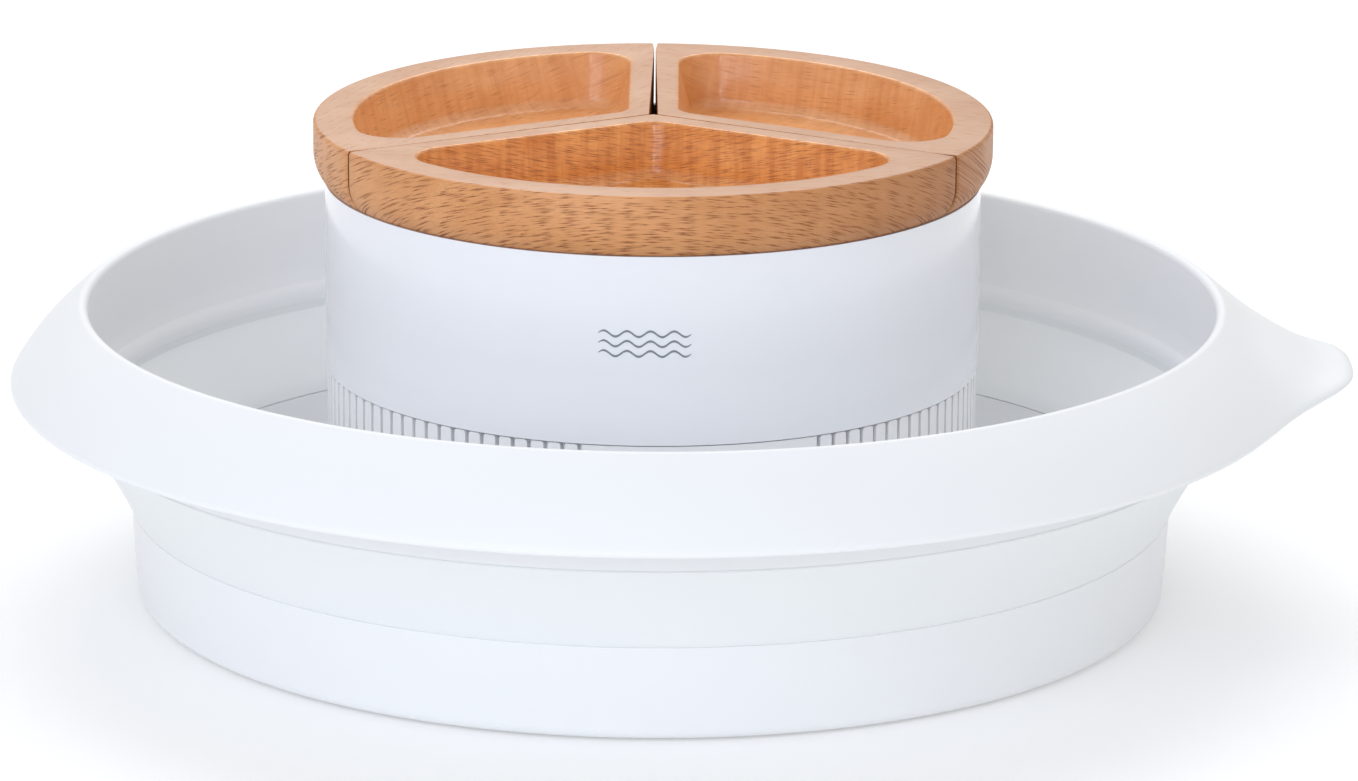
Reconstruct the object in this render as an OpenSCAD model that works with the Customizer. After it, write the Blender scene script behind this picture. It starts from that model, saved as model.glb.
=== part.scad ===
// Table-top flowing-noodle maker.
// A folding bowl holds the water. A drum in its middle holds two cells, a motor and
// a pump, behind a slotted strainer. Three beech condiment trays stand on the drum.
// The origin is on the table under the drum's axis. +Z is up and the front is -Y.
// Bearings on the drum are counted in degrees from the front (-Y) towards +X.

/* [Bowl] */
// Outer radius of the pan at its foot
pan_r = 137.7; // [134:0.1:140]
// Outer radius of the pan at the top of its wall
pan_top_r = 139; // [138:0.1:142]
// Height of the pan's wall, where the folding wall starts
pan_h = 25.5; // [22:0.5:28]
// Wall thickness of the pan and the rim
bowl_wall = 2.2; // [1.8:0.1:2.8]
// Inner radius of the rim's upright wall
rim_inner_r = 150; // [149:0.1:152]
// Height of the rim's crest
rim_h = 80; // [76:0.5:84]
// Height of the lower end of the rim's upright wall
rim_foot_z = 49.5; // [47:0.5:52]
// Outer radius of the skirt's lower edge
skirt_r = 170.8; // [168:0.1:173]
// Height of the skirt's lower edge
skirt_z = 58; // [56:0.5:60]
// Distance of the lug's tip from the axis
lug_reach = 187; // [183:0.5:190]

/* [Drum] */
// Outer radius of the drum's shell
shell_r = 87; // [86.5:0.1:87.5]
// Wall thickness of the shell
shell_wall = 2.4; // [2:0.1:2.6]
// Height of the shell's lower edge
shell_z0 = 63.1; // [62.8:0.1:63.4]
// Height of the shell's upper edge
shell_z1 = 112.8; // [112:0.1:113.5]
// Outer radius of the strainer
strainer_r = 86.6; // [86:0.1:86.8]
// Angle from one strainer slot to the next, degrees
slot_pitch = 3; // [3:0.5:4]
// Width of a strainer slot
slot_w = 1; // [0.8:0.1:1.4]

/* [Trays] */
// Outer radius of the trays
tray_r = 90; // [89:0.1:91]
// Height of the trays' top faces
tray_top = 129.2; // [128:0.1:131]
// Height of the trays' undersides
tray_bottom = 107.8; // [107.7:0.1:108.2]
// Depth of a tray's recess
recess_depth = 15; // [12:0.5:16]
// Width of the wood left along a tray's outer edge
tray_edge = 10.8; // [10:0.2:12]
// Width of the wood left along a tray's straight sides
tray_side = 6.8; // [5.5:0.1:8]
// How far the point where the three trays meet lies behind the axis
meeting_y = 2.5; // [0:0.1:3]

/* [Pump and motor] */
// Outer radius of the motor's can
motor_r = 13.8; // [13:0.1:14]
// Radius of the motor's shaft
shaft_r = 1.5; // [1.2:0.1:1.6]
// Outer radius of the impeller
impeller_r = 19; // [16:0.5:20]
// Number of impeller vanes
vanes = 6; // [5:1:8]
// Bearing of the outlet and of the plain panel round it, degrees
outlet_bearing = 9; // [6:0.5:10]

/* [Cells and controls] */
// Radius of a cell
cell_r = 13.1; // [12.9:0.1:13.1]
// Length of a cell, with its cap
cell_l = 50; // [49:0.5:50]
// Bearing of the push button
button_bearing = 138; // [136:1:142]
// Radius of the push button
button_r = 5.8; // [5:0.1:5.8]

/* [Hidden] */
$fn = 96;

tiny = 0.01;
fit_gap = 0.05;

// Bowl
floor_t = 2.6;
pan_z0 = 0.6;
floor_top = pan_z0 + floor_t;
pan_edge_r = 3;
foot_r = 8;
foot_ring_r = 112;
feet_round = 6;
locating_r = 87.6;
locating_wall = 2;
locating_top = 7.6;
lug_half_angle = 10.2;
lug_span = 19.5;
lug_t = 2.4;

// Drum
shell_in = shell_r - shell_wall;
strainer_wall = 2.2;
strainer_z0 = floor_top + 0.2;
strainer_floor = 2;
slot_z0 = 11;
slot_z1 = shell_z0 - 0.5;
band_in = 81.6;
band_z0 = 58;
band_z1 = 63.4;
plain_half = 19.5;
bulkhead_z0 = band_z1 + 0.2;
bulkhead_z1 = bulkhead_z0 + 3.4;
bulkhead_r = shell_in - 0.3;
oring_r = 1.1;
oring_z = (bulkhead_z0 + bulkhead_z1) / 2;
strainer_boss_at = 77.5;
strainer_boss_r = 4.6;
strainer_boss_z0 = 51;
drain_holes = 12;
drain_at = 60;
drain_r = 3;
strainer_boss_bearings = [45, -45, 150, -150];
flange_z0 = 101.8;
flange_z1 = 103.4;
flange_in = 71.5;
gasket_z1 = 104.2;
cover_z1 = 107.6;
post_at = 76;
post_r = 4;
post_bearings = [0, 72, -72, 120, -120];

// Screws
shank_r = 1.4;
hole_r = shank_r + fit_gap;
head_r = 2.9;
head_h = 1.8;

// Motor and pump
motor_z0 = 70;
motor_z1 = 95.5;
can_wall = 1;
end_cap_h = 2;
magnet_in = 10.6;
armature_r = 9.8;
armature_z0 = 74;
armature_z1 = 87;
clamp_post_x = 22;
clamp_z0 = motor_z1 + 0.6;
clamp_t = 2;
column_r = 7;
column_bore = 3;
column_z0 = 38.2;
bush_h = 6;
pump_in = 23;
pump_out = 25.5;
pump_z0 = 14;
pump_z1 = 38;
pump_cover_t = 2.2;
pump_top_t = 2.5;
rim_screw_at = 24.2;
column_screw_at = 5;
small_shank_r = 0.45;
small_hole_r = 0.5;
duct_x = shell_r * sin(outlet_bearing) + 2;
duct_w = 13;
duct_h = 13;
duct_wall = 1.4;
duct_z = 25;
duct_y0 = 38;
duct_y1 = 80.8;
impeller_z0 = 19;
impeller_z1 = 32;
spout_turn_r = 9.8;

// Cells, door and button
cell_x = 14;
cell_y0 = 26.5;
cell_z = 83.4;
nub_r = 3.3;
nub_l = 1.5;
cradle_x = 29;
opening_x = 31;
opening_z0 = 68.1;
opening_z1 = 99.4;
hinge_y = 89.4;
hinge_z = 65.4;
shell_knuckle_x = 15;
shell_knuckle_l = 5.6;
door_knuckle_x = 11.4;
knuckle_r = 2.1;
pin_r = 0.9;
button_z = 84;
switch_at = 64;
wire_r = 0.7;
wire_sides = 8;

// Wire routes, from end to end
red_route = [[14, 20.2, 92], [14, 18.2, 95], [20, 17, 97], [34, 22, 98], [42, 34, 95],
    [43.5, 41, 90], [43.4, 44.5, 86]];
orange_route = [[39.5, 48.5, 86], [36, 41, 91], [31, 27, 97.5], [21, 15.5, 99.2], [11, 11.2, 99.4],
    [5.2, 9.6, 99.3], [4.5, 9.5, 98.2]];
black_route = [[-14, 20.2, 92], [-14, 18.2, 95], [-10, 14, 98.6], [-6, 10.6, 99.6], [-4.5, 9.5, 98.2]];

// Trays
tray_half = 60;
recess_corner_r = 11;
recess_apex_r = 8.5;
seam = [0.3, 0.3];
rear_slit = [1.1, 0.1];

shell_colour = [0.93, 0.94, 0.96];
bowl_colour = [0.95, 0.96, 0.97];
inner_colour = [0.82, 0.84, 0.86];
steel_colour = [0.70, 0.71, 0.73];
brass_colour = [0.80, 0.62, 0.30];
rubber_colour = [0.14, 0.14, 0.15];
beech_colour = [0.86, 0.67, 0.50];

// ---------- Shapes that repeat ----------

// Points on an arc, from angle a0 to a1
function arc(c, r, a0, a1, n = 8) =
    [for (i = [0 : n]) let (a = a0 + (a1 - a0) * i / n) c + r * [cos(a), sin(a)]];

// Points from p to q that bow out by s to the right of the way from p to q
function bow(p, q, s, n = 10) = let (d = (q - p) / norm(q - p))
    [for (i = [0 : n]) let (t = i / n) p + (q - p) * t + 4 * s * t * (1 - t) * [d[1], -d[0]]];

// Centre of a recess's outer corner, on the side (1 or -1) of a sector that opens along +Y
// from its apex. m is the drum's axis, w the width of the wood beside the recess.
function corner_centre(side, m, w, r, rc) = let (
        along = [side * sin(tray_half), cos(tray_half)],
        inwards = [-side * cos(tray_half), sin(tray_half)],
        off = w + rc - m * inwards)
    (m * along + sqrt(pow(r - rc, 2) - off * off)) * along + (w + rc) * inwards;

// Outline of a tray's recess: straight sides w inside the sector's edges, outer corners of
// radius rc, an apex of radius ra and an outer arc of radius r round the drum's axis m
function recess_outline(m, w, r, rc, ra) = let (
        p = corner_centre(1, m, w, r, rc),
        q = corner_centre(-1, m, w, r, rc),
        a = atan2(p[1] - m[1], p[0] - m[0]),
        b = atan2(q[1] - m[1], q[0] - m[0]))
    concat(arc([0, (w + ra) / sin(tray_half)], ra, 180 + tray_half, 360 - tray_half, 10),
        arc(p, rc, -tray_half, a, 10),
        arc(m, r, a, b, 24),
        arc(q, rc, b, 180 + tray_half, 10));

function catmull(a, b, c, d, t) = 0.5 * (2 * b + (c - a) * t + (2 * a - 5 * b + 4 * c - d) * t * t
    + (3 * b - a - 3 * c + d) * t * t * t);

// A smooth line through the points of a route, with k steps between two points
function smooth_line(p, k = 5) = let (n = len(p)) concat(
    [for (i = [0 : n - 2], j = [0 : k - 1])
        catmull(p[max(i - 1, 0)], p[i], p[i + 1], p[min(i + 2, n - 1)], j / k)],
    [p[n - 1]]);

function unit(v) = v / norm(v);
function side_of(v) = unit(cross(v, abs(v[2]) < 0.9 ? [0, 0, 1] : [1, 0, 0]));

// Carries the ring's side vector along the line, so that the tube doesn't twist
function carried(line, i = 1, out = []) = let (
        last = len(out) == 0 ? side_of(line[1] - line[0]) : out[len(out) - 1],
        v = unit(line[min(i, len(line) - 1)] - line[max(i - 2, 0)]),
        s = unit(last - (last * v) * v))
    i > len(line) ? out : carried(line, i + 1, concat(out, [s]));

module tube(line, r, sides) {
    n = len(line);
    s = carried(line);
    turn = 360 / sides;
    rings = [for (i = [0 : n - 1])
        let (v = unit(line[min(i + 1, n - 1)] - line[max(i - 1, 0)]), u = cross(v, s[i]))
        for (k = [0 : sides - 1]) line[i] + r * (cos(turn * k) * s[i] + sin(turn * k) * u)];
    polyhedron(rings, concat(
        [[for (k = [0 : sides - 1]) k]],
        [for (i = [0 : n - 2], k = [0 : sides - 1])
            let (low = i * sides, high = low + sides, next = (k + 1) % sides)
            [low + k, high + k, high + next, low + next]],
        [[for (k = [sides - 1 : -1 : 0]) (n - 1) * sides + k]]), convexity = 6);
}

module ring(r1, r0, z0, z1) {
    translate([0, 0, z0])
        difference() {
            cylinder(r = r1, h = z1 - z0);
            translate([0, 0, -tiny])
                cylinder(r = r0, h = z1 - z0 + 2 * tiny);
        }
}

module post(r, z0, z1) {
    translate([0, 0, z0])
        cylinder(r = r, h = z1 - z0);
}

// Puts its children on a bearing, at a distance from the axis along the local -Y
module at(bearing, distance) {
    rotate(bearing)
        translate([0, -distance, 0])
            children();
}

// Puts its children on the button's axis: their +Z points out through the shell
module on_button_axis() {
    translate([0, 0, button_z])
        rotate(button_bearing)
            rotate([90, 0, 0])
                children();
}

module box(low, high) {
    translate(low)
        cube(high - low);
}

// A pan-head screw that points down, with its head's underside at z
module screw_down(z, length) {
    post(shank_r, z - length, z);
    post(head_r, z, z + head_h);
}

module screw_up(z, length) {
    post(shank_r, z, z + length);
    post(head_r, z - head_h, z);
}

// ---------- Bowl ----------

module base_pan() {
    inner = pan_top_r - bowl_wall;
    color(bowl_colour)
        difference() {
            union() {
                rotate_extrude($fn = 180)
                    polygon(concat(
                        [[0, pan_z0], [pan_r - pan_edge_r, pan_z0]],
                        arc([pan_r - pan_edge_r, pan_z0 + pan_edge_r], pan_edge_r, -90, 0),
                        [[pan_top_r, pan_h], [inner, pan_h]],
                        arc([pan_r - bowl_wall - 4, floor_top + 4], 4, 0, -90),
                        [[0, floor_top]]));
                ring(locating_r + locating_wall, locating_r, floor_top - tiny, locating_top);
            }
            foot_places()
                post(foot_r + 0.1, 0, 2);
        }
}

module foot_places() {
    children();
    for (i = [0 : feet_round - 1])
        at(30 + 360 / feet_round * i, foot_ring_r)
            children();
}

module foot_pads() {
    color(rubber_colour)
        foot_places()
            post(foot_r, 0, 2);
}

module folding_wall() {
    lip = rim_inner_r + 0.6;
    foot = pan_top_r - bowl_wall - 0.5;
    color(bowl_colour)
        rotate_extrude($fn = 180)
            polygon([[foot, pan_h], [pan_top_r, pan_h],
                [lip + 2.4, rim_foot_z - 1.3], [lip + 2.4, rim_foot_z],
                [lip, rim_foot_z], [lip, rim_foot_z - 0.6], [foot, pan_h + 0.7]]);
}

module skirt_profile() {
    crest_r = 1.7;
    crest = [rim_inner_r + crest_r, rim_h - crest_r];
    inner_edge = skirt_r - bowl_wall;
    polygon(concat(
        [[rim_inner_r + 0.8, rim_foot_z]],
        [[rim_inner_r + 0.8 + bowl_wall, rim_foot_z], [rim_inner_r + 0.4 + bowl_wall, rim_h - 6]],
        bow([rim_inner_r + 4, rim_h - 4.5], [inner_edge - 0.6, skirt_z + 1], -1),
        arc([skirt_r - 1.1, skirt_z + 1.1], 1.1, -135, 30, 6),
        bow([skirt_r - 0.5, skirt_z + 2.6], [crest[0] + 1.2, crest[1] + 1.2], 1.2),
        arc(crest, crest_r, 60, 180, 6)));
}

// The lug's outline from above: the skirt's edge swells outwards round the bearing of +X
function lug_radius(a) = skirt_r + (lug_reach - skirt_r) / (1 + pow(a / lug_half_angle, 4));

module lug_outline() {
    polygon(concat(
        [for (a = [-lug_span : 1.5 : lug_span]) lug_radius(a) * [cos(a), sin(a)]],
        [for (a = [lug_span, -lug_span]) (skirt_r - 10) * [cos(a), sin(a)]]));
}

module bowl_rim() {
    color(bowl_colour)
        union() {
            rotate_extrude($fn = 180)
                skirt_profile();
            difference() {
                translate([0, 0, skirt_z + 1])
                    linear_extrude(lug_t)
                        lug_outline();
                post(skirt_r - 2, skirt_z, skirt_z + 6);
            }
        }
}

// ---------- Drum: shell, strainer and decks ----------

module drum_shell() {
    color(shell_colour)
        difference() {
            union() {
                ring(shell_r, shell_in, shell_z0, shell_z1, $fn = 180);
                ring(shell_in + tiny, flange_in, flange_z0, flange_z1);
                intersection() {
                    for (x = [-1, 1])
                        translate([x * shell_knuckle_x, 0, 0])
                            box([-shell_knuckle_l / 2, shell_in - 3, shell_z0],
                                [shell_knuckle_l / 2, hinge_y, hinge_z + 1.8]);
                    ring(hinge_y + 2, shell_in, shell_z0, hinge_z + 2);
                }
                for (x = [-1, 1])
                    translate([x * shell_knuckle_x - shell_knuckle_l / 2, hinge_y, hinge_z])
                        rotate([0, 90, 0])
                            cylinder(r = knuckle_r, h = shell_knuckle_l);
            }
            box([-opening_x, 60, opening_z0], [opening_x, 95, opening_z1]);
            translate([-20, hinge_y, hinge_z])
                rotate([0, 90, 0])
                    cylinder(r = pin_r + fit_gap, h = 40);
            on_button_axis()
                translate([0, 0, 70])
                    cylinder(r = button_r + 0.4, h = 20);
            for (b = post_bearings)
                at(b, post_at)
                    post(hole_r, flange_z0 - 1, flange_z1 + 1);
        }
}

module strainer() {
    wall_in = strainer_r - strainer_wall;
    slots = floor((360 - 2 * plain_half) / slot_pitch);
    color(shell_colour)
        difference() {
            union() {
                rotate_extrude($fn = 180)
                    polygon([[0, strainer_z0], [strainer_r, strainer_z0], [strainer_r, slot_z1],
                        [wall_in, slot_z1], [wall_in, band_z1], [band_in, band_z1], [band_in, band_z0],
                        [wall_in, band_z0 - 3], [wall_in, strainer_z0 + strainer_floor],
                        [0, strainer_z0 + strainer_floor]]);
                for (b = strainer_boss_bearings)
                    at(b, strainer_boss_at)
                        post(strainer_boss_r, strainer_boss_z0, band_z1);
            }
            for (i = [0 : slots - 1])
                rotate(outlet_bearing + plain_half + slot_pitch * (i + 0.5))
                    box([-slot_w / 2, -strainer_r - 1, slot_z0], [slot_w / 2, -wall_in + 0.2, slot_z1 + 1]);
            for (b = strainer_boss_bearings)
                at(b, strainer_boss_at)
                    post(hole_r, strainer_boss_z0 - 1, band_z1 + 1);
            for (i = [0 : drain_holes - 1])
                at(360 / drain_holes * i, drain_at)
                    post(drain_r, 0, strainer_z0 + strainer_floor + 1);
            duct_box(70, 90, 0.2);
        }
}

module strainer_screws() {
    color(steel_colour)
        for (b = strainer_boss_bearings)
            at(b, strainer_boss_at)
                screw_up(strainer_boss_z0, 19);
}

module bulkhead() {
    color(inner_colour)
        difference() {
            union() {
                post(bulkhead_r, bulkhead_z0, bulkhead_z1);
                post(column_r, column_z0, bulkhead_z0 + tiny);
                ring(motor_r + 2.6, motor_r + 0.1, bulkhead_z1 - tiny, motor_z0 + 8);
                for (x = [-1, 1])
                    translate([x * clamp_post_x, 0, 0])
                        post(3.6, bulkhead_z1 - tiny, clamp_z0);
                for (b = post_bearings)
                    at(b, post_at)
                        post(post_r, bulkhead_z1 - tiny, flange_z0);
                for (b = strainer_boss_bearings)
                    at(b, strainer_boss_at)
                        post(post_r, bulkhead_z1 - tiny, bulkhead_z1 + 6);
                rotate(button_bearing)
                    box([-6, -switch_at - 10, bulkhead_z1 - tiny], [6, -switch_at, 78]);
            }
            rotate_extrude($fn = 120)
                translate([bulkhead_r - 2, oring_z - oring_r])
                    square([3, 2 * oring_r]);
            post(column_bore, column_z0 - 1, 60);
            post(shaft_r + 0.6, 55, bulkhead_z1 + 1);
            post(5, bulkhead_z1 - 2.6, bulkhead_z1 + 1);
            for (x = [-1, 1])
                translate([x * clamp_post_x, 0, 0])
                    post(hole_r, clamp_z0 - 9, clamp_z0 + 1);
            for (b = post_bearings)
                at(b, post_at)
                    post(hole_r, flange_z0 - 12, flange_z0 + 1);
            for (b = strainer_boss_bearings)
                at(b, strainer_boss_at)
                    post(hole_r, bulkhead_z0 - 1, bulkhead_z1 + 4);
            for (i = [0 : 2])
                at(120 * i + 60, column_screw_at)
                    post(small_hole_r, column_z0 - 1, column_z0 + 3);
        }
}

module bulkhead_seal() {
    color(rubber_colour)
        rotate_extrude($fn = 120)
            translate([shell_in - oring_r, oring_z])
                circle(r = oring_r - fit_gap, $fn = 24);
}

module top_cover() {
    color(inner_colour)
        difference() {
            post(bulkhead_r, gasket_z1, cover_z1);
            for (b = post_bearings)
                at(b, post_at) {
                    post(hole_r, gasket_z1 - 1, cover_z1 + 1);
                    post(head_r + 0.3, cover_z1 - head_h - 0.2, cover_z1 + 1);
                }
        }
}

module cover_gasket() {
    color(rubber_colour)
        ring(83.6, 79, flange_z1, gasket_z1, $fn = 120);
}

module cover_screws() {
    color(steel_colour)
        for (b = post_bearings)
            at(b, post_at)
                screw_down(cover_z1 - head_h - 0.2, 14);
}

// ---------- Motor ----------

module motor_can() {
    color(steel_colour)
        difference() {
            post(motor_r, motor_z0, motor_z1 - end_cap_h);
            post(motor_r - can_wall, motor_z0 + can_wall, motor_z1);
            post(3, motor_z0 - 1, motor_z0 + 3);
        }
}

module motor_magnets() {
    outer = motor_r - can_wall;
    color(rubber_colour)
        difference() {
            ring(outer, magnet_in, armature_z0 - 1, armature_z1 + 1);
            for (a = [0, 180])
                rotate(a)
                    box([-2.5, 0, armature_z0 - 2], [2.5, motor_r, armature_z1 + 2]);
        }
}

module motor_end_cap() {
    can_in = motor_r - can_wall;
    color(inner_colour)
        difference() {
            union() {
                post(motor_r, motor_z1 - end_cap_h, motor_z1);
                ring(can_in, can_in - 1.2, motor_z1 - 4, motor_z1 - end_cap_h + tiny);
            }
            post(3, motor_z1 - 5, motor_z1 + 1);
            for (x = [-1, 1])
                translate([x * 4.5, 9.5, 0])
                    box([-1.1, -0.35, motor_z1 - 5], [1.1, 0.35, motor_z1 + 1]);
        }
}

module motor_bushes() {
    color(brass_colour) {
        ring(3, shaft_r + fit_gap, motor_z0 - 1.6, motor_z0 + 2.4);
        ring(3, shaft_r + fit_gap, motor_z1 - 2.2, motor_z1 + 0.4);
    }
}

module motor_brushes() {
    color(brass_colour)
        for (x = [-1, 1])
            box([x * 5.4 - 2.1, -0.9, 90], [x * 5.4 + 2.1, 0.9, 91.8]);
}

module motor_terminals() {
    color(brass_colour)
        for (x = [-1, 1])
            translate([x * 4.5, 9.5, 0])
                box([-1, -0.3, motor_z1 - 4], [1, 0.3, motor_z1 + 2.2]);
}

module motor_clamp() {
    color(steel_colour)
        difference() {
            union() {
                box([-clamp_post_x, -4, clamp_z0], [clamp_post_x, 4, clamp_z0 + clamp_t]);
                for (x = [-1, 1])
                    translate([x * clamp_post_x, 0, 0])
                        post(4, clamp_z0, clamp_z0 + clamp_t);
            }
            post(3.6, clamp_z0 - 1, clamp_z0 + clamp_t + 1);
            for (x = [-1, 1])
                translate([x * clamp_post_x, 0, 0])
                    post(hole_r, clamp_z0 - 1, clamp_z0 + clamp_t + 1);
        }
}

module clamp_screws() {
    color(steel_colour)
        for (x = [-1, 1])
            translate([x * clamp_post_x, 0, 0])
                screw_down(clamp_z0 + clamp_t, 9);
}

module shaft_seal() {
    color(rubber_colour)
        ring(5, shaft_r + fit_gap, bulkhead_z1 - 2.6, bulkhead_z1);
}

module shaft_bush() {
    color(brass_colour)
        ring(column_bore, shaft_r + fit_gap, column_z0, column_z0 + bush_h);
}

// ---------- Pump ----------

// The duct's inner passage from y0 to y1 in front of the axis, g wider all round
module duct_box(y0, y1, g = 0) {
    box([duct_x - duct_w / 2 - g, -y1, duct_z - duct_h / 2 - g],
        [duct_x + duct_w / 2 + g, -y0, duct_z + duct_h / 2 + g]);
}

module pump_housing() {
    color(inner_colour)
        difference() {
            union() {
                post(pump_out, pump_z0, pump_z1);
                duct_box(4, duct_y0, duct_wall);
            }
            post(pump_in, pump_z0 - 1, pump_z1 - pump_top_t);
            duct_box(6, duct_y0 + 1);
            post(shaft_r + 0.6, pump_z0, pump_z1 + 1);
            for (i = [0 : 2]) {
                at(120 * i + 60, column_screw_at)
                    post(small_hole_r, pump_z1 - 3, pump_z1 + 1);
                at(120 * i + 90, rim_screw_at)
                    post(small_hole_r, pump_z0 - 1, pump_z0 + 6);
            }
        }
}

module pump_cover() {
    color(inner_colour)
        difference() {
            post(pump_out, pump_z0 - pump_cover_t, pump_z0);
            for (i = [0 : 5])
                at(60 * i, 6)
                    post(2, 0, pump_z0 + 1);
            post(2, 0, pump_z0 + 1);
            for (i = [0 : 2])
                at(120 * i + 90, rim_screw_at)
                    post(small_hole_r, 0, pump_z0 + 1);
        }
}

module pump_screws() {
    color(steel_colour)
        for (i = [0 : 2]) {
            at(120 * i + 90, rim_screw_at) {
                post(small_shank_r, pump_z0 - pump_cover_t, pump_z0 + 5);
                post(1.2, pump_z0 - pump_cover_t - 1, pump_z0 - pump_cover_t);
            }
            at(120 * i + 60, column_screw_at) {
                post(small_shank_r, pump_z1 - pump_top_t, pump_z1 + 3);
                post(1, pump_z1 - pump_top_t - 0.8, pump_z1 - pump_top_t);
            }
        }
}

module outlet_duct() {
    color(inner_colour)
        difference() {
            union() {
                duct_box(duct_y0 - 8, duct_y0 + 1.6, 2 * duct_wall);
                duct_box(duct_y0, duct_y1, duct_wall);
            }
            duct_box(duct_y0 - 9, duct_y0 + 0.2, duct_wall + fit_gap);
            duct_box(duct_y0 - 1, duct_y1 + 1);
        }
}

module spout_section(g) {
    square([duct_w - 2 * duct_wall + 2 * g, duct_h - 2 * duct_wall + 2 * g], center = true);
}

module outlet_spout() {
    y0 = strainer_r;
    flange_t = 1.4;
    color(shell_colour)
        difference() {
            union() {
                duct_box(duct_y1 - 2, y0 + flange_t, -0.1);
                duct_box(y0, y0 + flange_t, 2);
                spout_elbow(y0 + flange_t, duct_wall - 0.1);
            }
            spout_elbow(y0 + flange_t, 0);
            duct_box(duct_y1 - 3, y0 + flange_t + 0.2, -duct_wall);
        }
}

// A quarter turn from the flange's face towards +X
module spout_elbow(y0, g) {
    translate([duct_x + spout_turn_r, 0.1 - y0, duct_z])
        rotate(180)
            rotate_extrude(angle = 90, $fn = 72)
                translate([spout_turn_r, 0])
                    spout_section(g);
}

module motor_shaft() {
    color(steel_colour)
        post(shaft_r, impeller_z0 - 1, motor_z1 + 0.4);
}

module armature() {
    color([0.72, 0.40, 0.22])
        difference() {
            post(armature_r, armature_z0, armature_z1);
            post(shaft_r, armature_z0 - 1, armature_z1 + 1);
            for (i = [0 : 2])
                rotate(120 * i)
                    box([-1.2, 5, armature_z0 - 1], [1.2, armature_r + 1, armature_z1 + 1]);
        }
}

module commutator() {
    color(brass_colour)
        ring(3.2, shaft_r, armature_z1 + 1.2, 92.6);
}

module impeller() {
    hub_r = 4.5;
    color([0.90, 0.91, 0.92])
        difference() {
            union() {
                post(hub_r, impeller_z0, impeller_z1);
                post(impeller_r, impeller_z1 - 1.8, impeller_z1);
                for (i = [0 : vanes - 1])
                    rotate(360 / vanes * i)
                        box([hub_r - 1, -0.8, impeller_z0], [impeller_r - 1.5, 0.8, impeller_z1 - 1]);
            }
            post(shaft_r, impeller_z0 - 1, impeller_z1 + 1);
        }
}

module impeller_screw() {
    color(steel_colour)
        post(3.4, impeller_z0 - 2.6, impeller_z0 - 1);
}

// ---------- Cells and contacts ----------

module battery_cradle() {
    back = cell_y0 - 3;
    front = 77.3;
    color(inner_colour)
        difference() {
            union() {
                box([-cradle_x, back, bulkhead_z1], [cradle_x, front, cell_z]);
                box([-cradle_x, back - 2.2, bulkhead_z1], [cradle_x, back, opening_z1 - 3]);
                intersection() {
                    ring(83.1, 81.4, bulkhead_z1, opening_z1);
                    box([-cradle_x - 1.5, front - 12, bulkhead_z1], [cradle_x + 1.5, 90, opening_z1]);
                }
                for (x = [-1, 1])
                    box([x * cradle_x - 1, front - 4, bulkhead_z1], [x * cradle_x + 1, 77.6, opening_z1]);
            }
            for (x = [-1, 1])
                translate([x * cell_x, back, cell_z])
                    rotate([-90, 0, 0])
                        cylinder(r = cell_r + 0.15, h = 80);
            box([-cradle_x + 1.2, back + tiny, 72], [cradle_x - 1.2, 90, opening_z1 - 3]);
        }
}

// A cell along +Y, with its cap at the far end
module cell() {
    rotate([-90, 0, 0]) {
        cylinder(r = cell_r, h = cell_l - nub_l);
        cylinder(r = nub_r, h = cell_l);
    }
}

module battery_right() {
    color([0.25, 0.30, 0.34])
        translate([cell_x, cell_y0, cell_z])
            cell();
}

module battery_left() {
    color([0.25, 0.30, 0.34])
        translate([-cell_x, cell_y0 + cell_l, cell_z])
            rotate(180)
                cell();
}

// Two turns of wire that narrow towards the cell
module contact_springs() {
    coil = [for (i = [0 : 28]) let (a = 360 * i / 14, t = i / 28)
        [(5.5 - 2.2 * t) * cos(a), 0.5 + 1.9 * t, (5.5 - 2.2 * t) * sin(a)]];
    color(steel_colour)
        for (x = [-1, 1])
            translate([x * cell_x, cell_y0 - 2.9, cell_z])
                tube(coil, 0.35, 6);
}

module contact_plates() {
    back = cell_y0 - 5.2;
    color(brass_colour)
        for (x = [-1, 1])
            box([x * cell_x - 4, back - 0.4, 80], [x * cell_x + 4, back, 94]);
}

// ---------- Battery door ----------

module hinge_pin() {
    color(steel_colour)
        translate([-18.5, hinge_y, hinge_z])
            rotate([0, 90, 0])
                cylinder(r = pin_r, h = 37);
}

module battery_door() {
    color(shell_colour)
        difference() {
            union() {
                intersection() {
                    ring(shell_r, shell_in + 0.1, 60, 110, $fn = 180);
                    box([-opening_x + 0.6, 60, opening_z0 + 0.5], [opening_x - 0.6, 95, opening_z1 - 1.2]);
                }
                box([-door_knuckle_x, hinge_y - 2, hinge_z], [door_knuckle_x, hinge_y + 1.4, hinge_z + 5]);
                box([-door_knuckle_x, 85.4, hinge_z + 3.8], [door_knuckle_x, hinge_y + 1.4, hinge_z + 6.2]);
                translate([-door_knuckle_x, hinge_y, hinge_z])
                    rotate([0, 90, 0])
                        cylinder(r = knuckle_r, h = 2 * door_knuckle_x);
                box([-22, 78.3, 78], [22, 85.2, 89]);
                box([-9, 86, 94.4], [9, 89.2, 97]);
            }
            translate([-20, hinge_y, hinge_z])
                rotate([0, 90, 0])
                    cylinder(r = pin_r + fit_gap, h = 40);
        }
}

module door_gasket() {
    color(rubber_colour)
        intersection() {
            ring(shell_in, 83.3, 60, 110, $fn = 180);
            difference() {
                box([-29.6, 60, 69.6], [29.6, 95, 97.2]);
                box([-27, 60, 72.2], [27, 95, 94.6]);
            }
        }
}

module door_strap() {
    color(brass_colour)
        box([-20, 77.5, 79], [20, 78.3, 88]);
}

// ---------- Switch and button ----------

module switch_body() {
    color(rubber_colour)
        on_button_axis()
            difference() {
                box([-6, -6, switch_at], [6, 6, switch_at + 9]);
                post(2.3, switch_at + 3, switch_at + 10);
            }
}

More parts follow.
